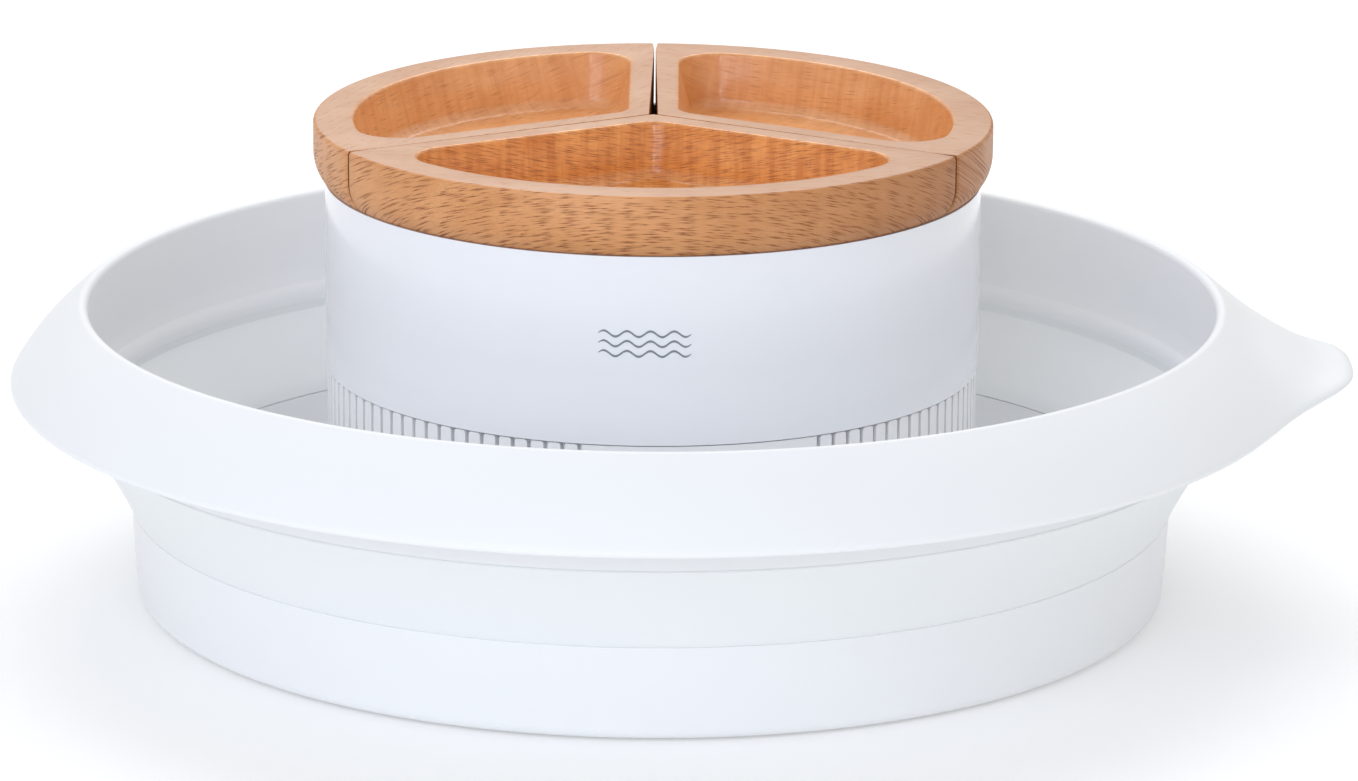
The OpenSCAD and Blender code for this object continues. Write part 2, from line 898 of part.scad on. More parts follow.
module button_boot() {
    color(rubber_colour)
        on_button_axis()
            ring(9, button_r + 0.3, 82, 84);
}

module power_button() {
    color([0.62, 0.65, 0.68])
        on_button_axis() {
            post(button_r, 77, shell_r + 1.6);
            post(2, 70, 78);
        }
}

// ---------- Wires ----------

module wire_cell_to_switch() {
    color([0.75, 0.12, 0.10])
        tube(smooth_line(red_route), wire_r, wire_sides);
}

module wire_switch_to_motor() {
    color([0.85, 0.35, 0.10])
        tube(smooth_line(orange_route), wire_r, wire_sides);
}

module wire_cell_to_motor() {
    color([0.10, 0.10, 0.11])
        tube(smooth_line(black_route), wire_r, wire_sides);
}

// ---------- Trays ----------

// The trays' outer form: upright at the top, drawn in below, with a foot inside the shell
module tray_turning() {
    foot = shell_in - 0.5;
    rotate_extrude($fn = 180)
        polygon(concat(
            [[0, tray_bottom], [foot, tray_bottom], [foot, shell_z1 + 0.3]],
            bow([shell_r - 0.6, shell_z1 + 0.3], [tray_r, tray_top - 9], 0.8),
            [[tray_r, tray_top - 0.8], [tray_r - 0.8, tray_top], [0, tray_top]]));
}

// A sector that opens along +Y from the trays' meeting point. Each side's edge keeps a gap
// to the true edge: gaps[side][0] at the meeting point and gaps[side][1] far outside.
module sector(gaps) {
    far = tray_r + 10;
    function edge_point(side, r, g) =
        [side * (r * sin(tray_half) - g * cos(tray_half)), r * cos(tray_half) + g * sin(tray_half)];
    linear_extrude(tray_top + 10)
        polygon([edge_point(1, 3, gaps[0][0]), edge_point(1, far, gaps[0][1]), [0, 3 * far],
            edge_point(-1, far, gaps[1][1]), edge_point(-1, 3, gaps[1][0])]);
}

module sector_tray(bearing, gaps) {
    axis_at = meeting_y * [sin(bearing), cos(bearing)];
    color(beech_colour)
        translate([0, meeting_y, 0])
            rotate(bearing + 180)
                difference() {
                    intersection() {
                        translate(axis_at)
                            tray_turning();
                        sector(gaps);
                    }
                    translate([0, 0, tray_top - recess_depth])
                        linear_extrude(recess_depth + 1)
                            polygon(recess_outline(axis_at, tray_side, tray_r - tray_edge,
                                recess_corner_r, recess_apex_r));
                }
}

module tray_front() {
    sector_tray(0, [seam, seam]);
}

module tray_right() {
    sector_tray(120, [seam, rear_slit]);
}

module tray_left() {
    sector_tray(-120, [rear_slit, seam]);
}

base_pan();
foot_pads();
folding_wall();
bowl_rim();
drum_shell();
strainer();
strainer_screws();
bulkhead();
bulkhead_seal();
top_cover();
cover_gasket();
cover_screws();
motor_can();
motor_magnets();
motor_end_cap();
motor_bushes();
motor_brushes();
motor_terminals();
motor_clamp();
clamp_screws();
shaft_seal();
shaft_bush();
pump_housing();
pump_cover();
pump_screws();
outlet_duct();
outlet_spout();
motor_shaft();
armature();
commutator();
impeller();
impeller_screw();
battery_cradle();
battery_left();
battery_right();
contact_springs();
contact_plates();
hinge_pin();
battery_door();
door_gasket();
door_strap();
switch_body();
button_boot();
power_button();
wire_cell_to_switch();
wire_switch_to_motor();
wire_cell_to_motor();
tray_front();
tray_right();
tray_left();
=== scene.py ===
import math

import bmesh
import bpy
from mathutils import Matrix, Vector


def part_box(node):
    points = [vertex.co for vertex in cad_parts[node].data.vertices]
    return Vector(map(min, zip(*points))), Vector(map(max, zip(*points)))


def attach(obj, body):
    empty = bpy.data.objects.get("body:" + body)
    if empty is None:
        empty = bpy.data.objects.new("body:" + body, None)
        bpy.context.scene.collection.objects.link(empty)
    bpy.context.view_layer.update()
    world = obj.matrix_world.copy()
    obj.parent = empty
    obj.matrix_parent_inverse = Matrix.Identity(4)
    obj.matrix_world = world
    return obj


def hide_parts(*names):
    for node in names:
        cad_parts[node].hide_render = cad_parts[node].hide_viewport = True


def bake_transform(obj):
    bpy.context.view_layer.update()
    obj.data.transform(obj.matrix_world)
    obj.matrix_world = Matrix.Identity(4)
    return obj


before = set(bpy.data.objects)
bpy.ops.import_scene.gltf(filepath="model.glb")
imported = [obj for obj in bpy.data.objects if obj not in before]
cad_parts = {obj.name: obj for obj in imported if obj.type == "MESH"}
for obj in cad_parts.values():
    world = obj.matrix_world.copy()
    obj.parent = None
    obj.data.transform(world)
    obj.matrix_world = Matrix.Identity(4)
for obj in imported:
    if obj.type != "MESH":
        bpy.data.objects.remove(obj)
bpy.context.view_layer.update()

MM = 0.001
SCENE = bpy.context.scene

# ---------------------------------------------------------------- sizes, in millimetres


def box_mm(node):
    """Lowest and highest corner of a CAD node, in millimetres."""
    low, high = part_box(node)
    return low / MM, high / MM


PAN_LOW, PAN_HIGH = box_mm("base_pan")
RIM_LOW, RIM_HIGH = box_mm("bowl_rim")
SHELL_LOW, SHELL_HIGH = box_mm("drum_shell")
STRAINER_LOW, STRAINER_HIGH = box_mm("strainer")
TRAY_LOW, TRAY_HIGH = box_mm("tray_front")

PAN_TOP_R = PAN_HIGH.x
PAN_FOOT_R = PAN_TOP_R - 1.3
PAN_Z0 = PAN_LOW.z
PAN_TOP = PAN_HIGH.z
BOWL_WALL = 2.2
FLOOR_TOP = PAN_Z0 + 2.6
LOCATING_R = 87.6
LOCATING_TOP = 7.6
SKIRT_R = -RIM_LOW.x
RIM_H = RIM_HIGH.z
RIM_FOOT_Z = RIM_LOW.z
SKIRT_Z = RIM_FOOT_Z + 8.5
RIM_INNER_R = 150.0
LUG_REACH = RIM_HIGH.x
LUG_HALF_ANGLE = math.radians(10.2)

SHELL_R = -SHELL_LOW.x
SHELL_IN = SHELL_R - 2.4
SHELL_Z0 = SHELL_LOW.z
SHELL_Z1 = SHELL_HIGH.z
STRAINER_R = STRAINER_HIGH.x
STRAINER_WALL = 2.2
STRAINER_Z0 = STRAINER_LOW.z
SLOT_Z0 = 11.0
SLOT_Z1 = SHELL_Z0 - 0.35
SLOT_PITCH = math.radians(3)
SLOT_W = 1.15
BAR_CORNER = 0.7
OUTLET_BEARING = math.radians(9)
PLAIN_HALF = math.radians(19.5)

TRAY_R = 90.0
TRAY_TOP = TRAY_HIGH.z
TRAY_BOTTOM = TRAY_LOW.z
TRAY_EDGE = 10.8
TRAY_SIDE = 6.8
TRAY_HALF = math.radians(60)
MEETING_Y = 2.5
RECESS_DEPTH = 15.0


# ---------------------------------------------------------------- outlines and meshes


def arc(cx, cy, r, a0, a1, n=8):
    """Points on an arc from angle a0 to a1, in degrees."""
    steps = [math.radians(a0 + (a1 - a0) * i / n) for i in range(n + 1)]
    return [(cx + r * math.cos(a), cy + r * math.sin(a)) for a in steps]


def bow(p, q, s, n=12):
    """Points from p to q that bow out by s to the right of the way from p to q."""
    dx, dy = q[0] - p[0], q[1] - p[1]
    length = math.hypot(dx, dy)
    points = []
    for i in range(n + 1):
        t = i / n
        out = 4 * s * t * (1 - t) / length
        points.append((p[0] + dx * t + dy * out, p[1] + dy * t - dx * out))
    return points


def finish_mesh(name, bm, materials, body, sharp=38):
    """Turns a bmesh in millimetres into a smooth-shaded piece that rides on a body."""
    bmesh.ops.remove_doubles(bm, verts=bm.verts, dist=0.001)
    bmesh.ops.recalc_face_normals(bm, faces=bm.faces)
    bmesh.ops.scale(bm, vec=(MM, MM, MM), verts=bm.verts)
    mesh = bpy.data.meshes.new(name)
    bm.to_mesh(mesh)
    bm.free()
    for material in materials:
        mesh.materials.append(material)
    mesh.shade_smooth()
    mesh.set_sharp_from_angle(angle=math.radians(sharp))
    piece = bpy.data.objects.new(name, mesh)
    SCENE.collection.objects.link(piece)
    if body:
        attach(piece, body)
    return piece


def turned(bm, outline, steps, swell=None, place=(0, 0, 0)):
    """Turns a closed outline of (radius, height) points about an upright axis through place.
    swell(r, z, angle) moves a point."""
    rings = []
    for i in range(steps):
        a = 2 * math.pi * i / steps
        ring = []
        for r, z in outline:
            r2, z2 = swell(r, z, a) if swell else (r, z)
            point = Vector((r2 * math.cos(a), r2 * math.sin(a), z2))
            ring.append(bm.verts.new(Vector(place) + point))
        rings.append(ring)
    n = len(outline)
    for i in range(steps):
        here, there = rings[i], rings[(i + 1) % steps]
        for k in range(n):
            m = (k + 1) % n
            bm.faces.new((here[k], there[k], there[m], here[m]))


def lathe(name, outline, material, body, steps=288, swell=None, sharp=38):
    """A piece turned about Z."""
    bm = bmesh.new()
    turned(bm, outline, steps, swell)
    return finish_mesh(name, bm, [material], body, sharp)


# ---------------------------------------------------------------- materials


class Nodes:
    """A short way to build a material's nodes."""

    def __init__(self, name):
        self.material = bpy.data.materials.new(name)
        self.material.use_nodes = True
        self.tree = self.material.node_tree
        self.shader = self.tree.nodes["Principled BSDF"]

    def add(self, kind, inputs=None, **settings):
        node = self.tree.nodes.new(kind)
        for key, value in settings.items():
            setattr(node, key, value)
        for key, value in (inputs or {}).items():
            self.put(node.inputs[key], value)
        return node

    def put(self, socket, value):
        if isinstance(value, bpy.types.NodeSocket):
            self.tree.links.new(value, socket)
        else:
            socket.default_value = value

    def coordinates(self, scale=(1, 1, 1)):
        """Object coordinates, so that a pattern stays put on a piece that moves."""
        texture = self.add("ShaderNodeTexCoord")
        mapping = self.add("ShaderNodeMapping", {"Vector": texture.outputs["Object"]})
        mapping.inputs["Scale"].default_value = scale
        return mapping.outputs["Vector"]

    def noise(self, vector, scale, detail, roughness=0.5):
        inputs = {"Vector": vector, "Scale": scale, "Detail": detail, "Roughness": roughness}
        return self.add("ShaderNodeTexNoise", inputs).outputs["Fac"]

    def ramp(self, value, stops):
        """stops is a list of (position, grey or colour)."""
        node = self.add("ShaderNodeValToRGB", {"Fac": value})
        ramp = node.color_ramp
        while len(ramp.elements) < len(stops):
            ramp.elements.new(0.5)
        for element, (position, colour) in zip(ramp.elements, stops):
            element.position = position
            if isinstance(colour, (int, float)):
                colour = (colour, colour, colour)
            element.color = (*colour, 1)
        return node.outputs["Color"]

    def mix(self, factor, a, b, blend="MIX"):
        node = self.add("ShaderNodeMix", data_type="RGBA", blend_type=blend)
        self.put(node.inputs["Factor"], factor)
        self.put(node.inputs["A"], (*a, 1) if isinstance(a, tuple) else a)
        self.put(node.inputs["B"], (*b, 1) if isinstance(b, tuple) else b)
        return node.outputs["Result"]

    def maths(self, operation, a, b=0.0):
        node = self.add("ShaderNodeMath", operation=operation)
        self.put(node.inputs[0], a)
        self.put(node.inputs[1], b)
        return node.outputs[0]

    def bump(self, height, strength, distance):
        node = self.add("ShaderNodeBump", {"Height": height, "Strength": strength, "Distance": distance * MM})
        self.tree.links.new(node.outputs["Normal"], self.shader.inputs["Normal"])

    def set(self, **values):
        names = {
            "colour": "Base Color",
            "roughness": "Roughness",
            "metallic": "Metallic",
            "coat": "Coat Weight",
            "coat_roughness": "Coat Roughness",
        }
        for key, value in values.items():
            if key == "colour" and isinstance(value, tuple):
                value = (*value, 1)
            self.put(self.shader.inputs[names[key]], value)


def moulded(name, colour, roughness, grain=900, depth=0.02, spread=0.05, coat=0.0, drift=0.02):
    """Moulded plastic or rubber: faint drift of tone, uneven gloss and a fine moulded grain."""
    m = Nodes(name)
    place = m.coordinates()
    cloud = m.noise(place, 22, 3)
    fine = m.noise(place, grain, 2, 0.6)
    dark = tuple(c * (1 - drift) for c in colour)
    m.set(colour=m.mix(cloud, dark, colour))
    gloss = m.ramp(m.noise(place, 60, 4), [(0.3, roughness - spread / 2), (0.7, roughness + spread / 2)])
    m.set(roughness=gloss, coat=coat, coat_roughness=0.06)
    m.bump(fine, 0.35, depth)
    return m.material


def metal(name, colour, roughness, along):
    """Drawn or turned metal with fine scratches along one axis."""
    m = Nodes(name)
    stretch = {"X": (40, 1400, 1400), "Y": (1400, 40, 1400), "Z": (1400, 1400, 40)}[along]
    scratches = m.noise(m.coordinates(stretch), 1, 3, 0.6)
    stain = m.noise(m.coordinates(), 90, 4)
    m.set(
        colour=m.mix(stain, tuple(c * 0.86 for c in colour), colour),
        metallic=1.0,
        roughness=m.ramp(scratches, [(0.3, roughness - 0.06), (0.7, roughness + 0.10)]),
    )
    m.bump(scratches, 0.4, 0.015)
    return m.material


# ---------------------------------------------------------------- wood

RAY_DIP = math.radians(27)
TONE_AND_SHADE_REACH = 80


def beech(name, tone, look, turn, place=(0, 0, 0), tone_and_shade_right=0.0):
    """Oiled beech. Fibres run along X after the block is turned. The rays are thin short sheets
    that lie across the fibres and dip towards the back of the block, so a cut face shows them
    as short dark dashes. look holds the strength of the dashes, the share of places that have
    one, the gloss, the coat and the strength of the upright bands. The last argument darkens
    the wood towards +X: partly painted shade, partly the wood's own darker tone."""
    light, mid, dark = tone
    m = Nodes(name)
    texture = m.add("ShaderNodeTexCoord")
    spin = m.add("ShaderNodeMapping", {"Vector": texture.outputs["Object"], "Location": place})
    spin.inputs["Rotation"].default_value = (0, 0, turn)
    tilt = m.add("ShaderNodeMapping", {"Vector": spin.outputs["Vector"]})
    tilt.inputs["Rotation"].default_value = (RAY_DIP - math.pi / 2, 0, 0)

    def stretched(along, thick, deep, shift=0.0):
        """Coordinates in cells of so many millimetres along the fibres, across and down the rays."""
        scale = (1000 / along, 1000 / thick, 1000 / deep)
        inputs = {"Vector": tilt.outputs["Vector"], "Location": (shift, shift, shift)}
        node = m.add("ShaderNodeMapping", inputs)
        node.inputs["Scale"].default_value = scale
        return node.outputs["Vector"]

    def flecks(along, thick, shift, share, reach):
        """Spindle-shaped flecks in a share of the cells, each with its own strength."""
        place_of_drift = stretched(9, 6, 30, shift)
        drift = m.add("ShaderNodeTexNoise", {"Vector": place_of_drift, "Scale": 1.0, "Detail": 1.0})
        wavy = m.mix(0.05, stretched(along, thick, 40, shift), drift.outputs["Color"], "ADD")
        cells = m.add("ShaderNodeTexVoronoi", {"Vector": wavy, "Scale": 1.0, "Randomness": 1.0},
                      voronoi_dimensions="2D", distance="MANHATTAN")
        near = m.ramp(cells.outputs["Distance"], [(reach * 0.3, 1.0), (reach, 0.0)])
        pick = m.add("ShaderNodeSeparateColor", {"Color": cells.outputs["Color"]}).outputs["Red"]
        strength = m.ramp(pick, [(0.0, 1.0), (share, 0.55), (min(0.99, share + 0.04), 0.08), (1.0, 0.0)])
        return m.maths("MULTIPLY", near, strength)

    rays = m.maths("MAXIMUM", flecks(7.6, 0.52, 0.0, look["share"], 0.46),
                   flecks(5.2, 0.42, 7.3, look["share"] * 0.7, 0.42))
    pores = m.ramp(m.noise(stretched(5.0, 0.35, 0.5, 5.7), 1, 3, 0.7), [(0.48, 0.0), (0.70, 1.0)])
    streaks = m.ramp(m.noise(stretched(16.0, 0.8, 3.0, 2.2), 1, 3, 0.6), [(0.32, 0.0), (0.68, 1.0)])
    clouds = m.ramp(m.noise(stretched(30, 12, 18, 3.1), 1, 4, 0.55), [(0.36, 0.0), (0.64, 1.0)])

    colour = m.mix(clouds, mid, light)
    colour = m.mix(m.maths("MULTIPLY", streaks, 0.30), colour, tuple(min(1.0, c * 1.12) for c in light))
    if look["bands"]:
        bands = m.noise(stretched(2.4, 26, 30, 1.4), 1, 3, 0.6)
        shade = m.maths("MULTIPLY", m.ramp(bands, [(0.36, 1.0), (0.60, 0.0)]), look["bands"])
        colour = m.mix(shade, colour, (mid[0] * 0.80, mid[1] * 0.66, mid[2] * 0.50))
    # Painted shade towards +X, partly the wood's own darker tone: the colour darkens as X grows.
    if tone_and_shade_right:
        across = m.add("ShaderNodeSeparateXYZ", {"Vector": texture.outputs["Object"]}).outputs["X"]
        inputs = {"Value": across, "From Min": 0.0, "From Max": TONE_AND_SHADE_REACH * MM, "To Max": tone_and_shade_right}
        depth = m.add("ShaderNodeMapRange", inputs)
        colour = m.mix(depth.outputs["Result"], colour, (mid[0] * 0.5, mid[1] * 0.42, mid[2] * 0.32))
    colour = m.mix(m.maths("MULTIPLY", pores, 0.25 * look["dashes"]), colour, dark)
    colour = m.mix(m.maths("MULTIPLY", rays, look["dashes"]), colour, dark)
    m.set(colour=colour, roughness=m.ramp(rays, [(0.0, look["gloss"]), (1.0, look["gloss"] + 0.2)]))
    m.set(coat=look["coat"], coat_roughness=0.12)
    m.bump(m.maths("ADD", m.maths("MULTIPLY", rays, -0.7), m.maths("MULTIPLY", pores, -0.5)), 0.3, 0.05)
    return m.material


APEX_STEPS = 12


def sector_outline(m, inset, r, corner, apex, flare=0.0):
    """Outline, from above, of a sector that opens along +Y from the trays' meeting point.
    m is the drum's axis. The straight sides keep a distance from the sector's edges, which
    grows by flare over their last stretch before the rim."""
    centres, bends = [], []
    for side in (1, -1):
        along = Vector((side * math.sin(TRAY_HALF), math.cos(TRAY_HALF)))
        inwards = Vector((-side * math.cos(TRAY_HALF), math.sin(TRAY_HALF)))
        off = inset + flare + corner - m.dot(inwards)
        reach = m.dot(along) + math.sqrt((r - corner) ** 2 - off ** 2)
        centres.append(along * reach + inwards * (inset + flare + corner))
        bends.append([along * reach * share + inwards * inset for share in (0.86, 0.93)])
    p, q = centres
    a, b = [math.degrees(math.atan2(c.y - m.y, c.x - m.x)) for c in centres]
    half = math.degrees(TRAY_HALF)
    outline = arc(0, (inset + apex) / math.sin(TRAY_HALF), apex, 180 + half, 360 - half, APEX_STEPS)
    outline += bends[0]
    outline += arc(p.x, p.y, corner, -half, a, 12)
    outline += arc(m.x, m.y, r, a, b, 64)[1:-1]
    outline += arc(q.x, q.y, corner, b, 180 + half, 12)
    outline += reversed(bends[1])
    return outline


# ---------------------------------------------------------------- materials of this object

MATS = {
    "bowl": moulded("bowl_white", (0.885, 0.90, 0.915), 0.46, grain=1500, depth=0.012, spread=0.06),
    "silicone": moulded("silicone_white", (0.875, 0.90, 0.91), 0.56, grain=1300, depth=0.02, spread=0.08),
    "shell": moulded("shell_white", (0.885, 0.90, 0.94), 0.16, grain=500, depth=0.004, spread=0.03, coat=0.4),
    "strainer": moulded("strainer_white", (0.93, 0.935, 0.95), 0.42, grain=1500, depth=0.01, spread=0.06),
    "inner": moulded("inner_grey", (0.58, 0.60, 0.62), 0.42, grain=1200, depth=0.02),
    "rubber": moulded("rubber_black", (0.022, 0.022, 0.024), 0.62, grain=1800, depth=0.02, drift=0.25),
    "button": moulded("button_grey", (0.34, 0.36, 0.39), 0.55, grain=1600, depth=0.02, drift=0.08),
    "switch": moulded("switch_black", (0.03, 0.03, 0.033), 0.4, grain=1600, depth=0.02, drift=0.2),
    "print": moulded("print_grey", (0.22, 0.25, 0.29), 0.5, grain=2500, depth=0.004, drift=0.06),
    "steel": metal("steel_bright", (0.62, 0.62, 0.64), 0.26, "X"),
    "can": metal("steel_rolled", (0.50, 0.50, 0.52), 0.34, "Z"),
    "magnet": moulded("magnet_dark", (0.05, 0.05, 0.055), 0.5, grain=2200, depth=0.03, drift=0.3),
    "bronze": metal("bronze_satin", (0.72, 0.50, 0.24), 0.32, "X"),
    "copper": metal("copper_winding", (0.62, 0.26, 0.12), 0.38, "Z"),
    "red": moulded("wire_red", (0.50, 0.03, 0.025), 0.35, grain=1400, depth=0.01, drift=0.1),
    "orange": moulded("wire_orange", (0.62, 0.14, 0.02), 0.35, grain=1400, depth=0.01, drift=0.1),
    "black": moulded("wire_black", (0.02, 0.02, 0.022), 0.35, grain=1400, depth=0.01, drift=0.2),
    "cell": moulded("cell_sleeve", (0.035, 0.05, 0.062), 0.3, grain=900, depth=0.006, drift=0.2, coat=0.3),
}

CAD_FINISH = {
    "inner": ["bulkhead", "top_cover", "motor_end_cap", "pump_housing", "pump_cover", "outlet_duct",
              "battery_cradle", "impeller"],
    "shell": ["drum_shell", "battery_door", "outlet_spout"],
    "rubber": ["foot_pads", "bulkhead_seal", "cover_gasket", "shaft_seal", "door_gasket", "button_boot"],
    "steel": ["clamp_screws", "pump_screws", "impeller_screw", "motor_clamp", "hinge_pin",
              "motor_shaft", "contact_springs"],
    "can": ["motor_can"],
    "magnet": ["motor_magnets"],
    "bronze": ["motor_bushes", "shaft_bush", "motor_brushes", "motor_terminals", "commutator",
               "contact_plates", "door_strap"],
    "copper": ["armature"],
    "switch": ["switch_body"],
    "red": ["wire_cell_to_switch"],
    "orange": ["wire_switch_to_motor"],
    "black": ["wire_cell_to_motor"],
}


def finish_cad_nodes():
    """Gives each CAD node that stays in sight its own finish."""
    for finish, nodes in CAD_FINISH.items():
        for node in nodes:
            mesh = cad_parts[node].data
            mesh.materials.clear()
            mesh.materials.append(MATS[finish])


# ---------------------------------------------------------------- bowl

PAN_EDGE_R = 3.0
LUG_LIFT = 3.4
LUG_DISH = 1.3


def make_pan():
    inner = PAN_TOP_R - BOWL_WALL
    outline = (
        [(0.02, PAN_Z0), (PAN_FOOT_R - 24, PAN_Z0), (PAN_FOOT_R - 14, PAN_Z0)]
        + arc(PAN_FOOT_R - PAN_EDGE_R, PAN_Z0 + PAN_EDGE_R, PAN_EDGE_R, -90, 0, 10)
        + bow((PAN_FOOT_R, PAN_Z0 + PAN_EDGE_R + 0.5), (PAN_TOP_R - 0.1, PAN_TOP - 1), 0.15, 6)
        + arc(PAN_TOP_R - 0.35, PAN_TOP - 0.35, 0.35, 0, 60, 4)
        + [(inner - 0.5, PAN_TOP), (inner - 0.45, PAN_TOP - 1.4), (inner - 0.2, PAN_TOP - 4)]
        + arc(PAN_FOOT_R - BOWL_WALL - 4, FLOOR_TOP + 4, 4, 0, -90, 10)
        + arc(LOCATING_R + 2.8, FLOOR_TOP + 0.8, 0.8, -90, -180, 3)
        + arc(LOCATING_R + 1.2, LOCATING_TOP - 0.8, 0.8, 0, 90, 4)
        + arc(LOCATING_R + 0.8, LOCATING_TOP - 0.8, 0.8, 90, 180, 4)
        + [(LOCATING_R, FLOOR_TOP), (40.0, FLOOR_TOP), (0.02, FLOOR_TOP)]
    )
    pan = lathe("pan", outline, MATS["bowl"], "base")
    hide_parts("base_pan")


def lug_swell(r, z, a):
    """The lug: the skirt reaches out and flattens round the bearing of +X."""
    off = abs((a + math.pi) % (2 * math.pi) - math.pi)
    bump = 1 / (1 + (off / LUG_HALF_ANGLE) ** 4)
    root = RIM_INNER_R + 6
    t = max(0.0, min(1.0, (r - root) / (SKIRT_R - root)))
    if t <= 0 or bump < 0.004:
        return r, z
    reach = (LUG_REACH - SKIRT_R) * bump * t ** 2.2
    lift = LUG_LIFT * bump * t ** 2.5
    dish = LUG_DISH * max(0.0, bump - 0.25) * math.sin(math.pi * t ** 3) ** 2
    return r + reach, z + lift - dish


def make_rim():
    crest_r = 1.7
    cx, cz = RIM_INNER_R + crest_r, RIM_H - crest_r
    inside = SKIRT_R - BOWL_WALL
    edge = 1.1
    outline = (
        bow((RIM_INNER_R + 0.5, RIM_FOOT_Z + 4.4), (RIM_INNER_R - 1.0, RIM_FOOT_Z), 0.6, 10)
        + arc(RIM_INNER_R + 2.5, RIM_FOOT_Z + 0.3, 0.3, 270, 360, 3)
        + [(RIM_INNER_R + 2.8, RIM_FOOT_Z + 10), (RIM_INNER_R + 2.6, RIM_H - 12)]
        + arc(RIM_INNER_R + 5.2, RIM_H - 7.0, 2.6, 180, 60, 6)
        + bow((RIM_INNER_R + 6.6, RIM_H - 6.2), (inside - 0.6, SKIRT_Z + 1.2), -1.2, 20)
        + arc(SKIRT_R - edge, SKIRT_Z + edge, edge, -135, 32, 8)
        + bow((SKIRT_R - 0.25, SKIRT_Z + 2.0), (cx + 1.15, cz + 1.25), 1.25, 26)
        + arc(cx, cz, crest_r, 50, 180, 10)
        + [(RIM_INNER_R + 0.15, RIM_H - 12), (RIM_INNER_R + 0.6, RIM_FOOT_Z + 10)]
    )
    rim = lathe("rim", outline, MATS["bowl"], "rim", steps=480, swell=lug_swell, sharp=60)
    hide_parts("bowl_rim")


def make_folding_wall():
    """The soft cone between the pan and the rim. It turns over when the rim is pressed down."""
    foot = PAN_TOP_R - BOWL_WALL - 0.5
    lip = RIM_INNER_R + 0.6
    outline = (
        [(foot + 0.4, PAN_TOP), (PAN_TOP_R - 0.15, PAN_TOP)]
        + bow((PAN_TOP_R, PAN_TOP + 0.15), (lip + 2.2, RIM_FOOT_Z - 0.4), -0.7, 20)
        + [(lip + 2.1, RIM_FOOT_Z), (RIM_INNER_R - 1.0, RIM_FOOT_Z)]
        + arc(RIM_INNER_R + 1.0, RIM_FOOT_Z - 0.4, 2.0, 180, 215, 4)
        + bow((lip - 0.9, RIM_FOOT_Z - 3.4), (foot + 0.7, PAN_TOP + 3.4), 0.7, 20)
        + [(foot + 0.25, PAN_TOP + 1.8), (foot, PAN_TOP + 0.4)]
    )
    wall = lathe("folding_cone", outline, MATS["silicone"], None)
    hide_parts("folding_wall")
    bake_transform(wall)


# ---------------------------------------------------------------- trays

SEAM_GAP = 0.08
SEAM_FLARE = 0.42
SLIT_GAP = 1.1
EDGE_R = 1.0
RECESS_DRAFT = 2.6


def tray_levels():
    """(height, outer radius, inset of the sides) of each loop, from the foot to the top."""
    foot = SHELL_IN - 0.5
    levels = [
        (TRAY_BOTTOM, foot - 0.6, 0.9),
        (TRAY_BOTTOM + 0.6, foot, SEAM_GAP),
        (SHELL_Z1 + 0.06, foot, SEAM_GAP),
        (SHELL_Z1 + 0.06, SHELL_R - 1.0, SEAM_GAP),
    ]
    for r, z in bow((SHELL_R - 0.5, SHELL_Z1 + 0.2), (TRAY_R, TRAY_TOP - 8.5), 0.9, 10):
        levels.append((z, r, SEAM_GAP))
    for x, z in arc(0, 0, EDGE_R, 0, 75, 5):
        levels.append((TRAY_TOP - EDGE_R + z, TRAY_R - EDGE_R + x, SEAM_GAP + 0.1 * (EDGE_R - x)))
    return levels


def recess_levels():
    """(height, how far inside the recess's outline) from the recess's lip to its floor."""
    lip, foot_r = 0.9, 4.0
    levels = [(TRAY_TOP - lip + lip * math.sin(math.radians(a)), lip * (math.cos(math.radians(a)) - 1))
              for a in (90, 65, 40, 15, 0)]
    foot = TRAY_TOP - RECESS_DEPTH + foot_r
    levels += [(TRAY_TOP - 5, 1.0), (foot, RECESS_DRAFT)]
    levels += [(foot + z, RECESS_DRAFT + foot_r - x) for x, z in arc(0, 0, foot_r, 0, -90, 7)[1:]]
    return levels


def open_slit(point, side):
    """Draws the side next to the slit back from its edge, more so towards the meeting point."""
    along = Vector((side * math.sin(TRAY_HALF), math.cos(TRAY_HALF)))
    inwards = Vector((-side * math.cos(TRAY_HALF), math.sin(TRAY_HALF)))
    away = max(0.0, point.dot(inwards))
    share = max(0.0, 1 - point.dot(along) / TRAY_R) * max(0.0, 1 - away / TRAY_SIDE)
    return point + inwards * SLIT_GAP * share


def make_tray(name, node, bearing, slit_side, woods):
    """One tray. slit_side is the side (1 or -1) at the open slit, or 0."""
    m = MEETING_Y * Vector((math.sin(bearing), math.cos(bearing)))
    turn = Matrix.Rotation(bearing + math.pi, 2)
    bm = bmesh.new()
    loops = []

    def add_loop(outline, z, slit):
        loop = []
        for p in outline:
            local = open_slit(Vector(p), slit) if slit else Vector(p)
            place = turn @ local
            loop.append(bm.verts.new((place.x, place.y + MEETING_Y, z)))
        loops.append(loop)

    for z, r, inset in tray_levels():
        add_loop(sector_outline(m, inset, r, 0.8, 1.0, SEAM_FLARE), z, slit_side)
    outer_loops = len(loops)
    recess_r = TRAY_R - TRAY_EDGE
    for z, d in recess_levels():
        add_loop(sector_outline(m, TRAY_SIDE + d, recess_r - d, 11 - d, 8.5 - d), z, 0)
    first, last = APEX_STEPS + 3, len(loops[0]) - 3
    # The corners at the seams get painted shade, so that the closed seams read as dark lines.
    seam_shade_faces = [*range(first, first + 3), *range(last - 3, last)]
    for i, (low, high) in enumerate(zip(loops, loops[1:])):
        kind = 0 if i < outer_loops - 1 else 1 if i == outer_loops - 1 else 2
        for k in range(len(low)):
            n = (k + 1) % len(low)
            face = bm.faces.new((low[k], low[n], high[n], high[k]))
            face.material_index = 3 if kind == 0 and k in seam_shade_faces else kind
    bm.faces.new(list(reversed(loops[0])))
    bm.faces.new(loops[-1]).material_index = 2
    tray = finish_mesh(name, bm, woods, node.split("_")[1] + "_tray", sharp=50)
    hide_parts(node)


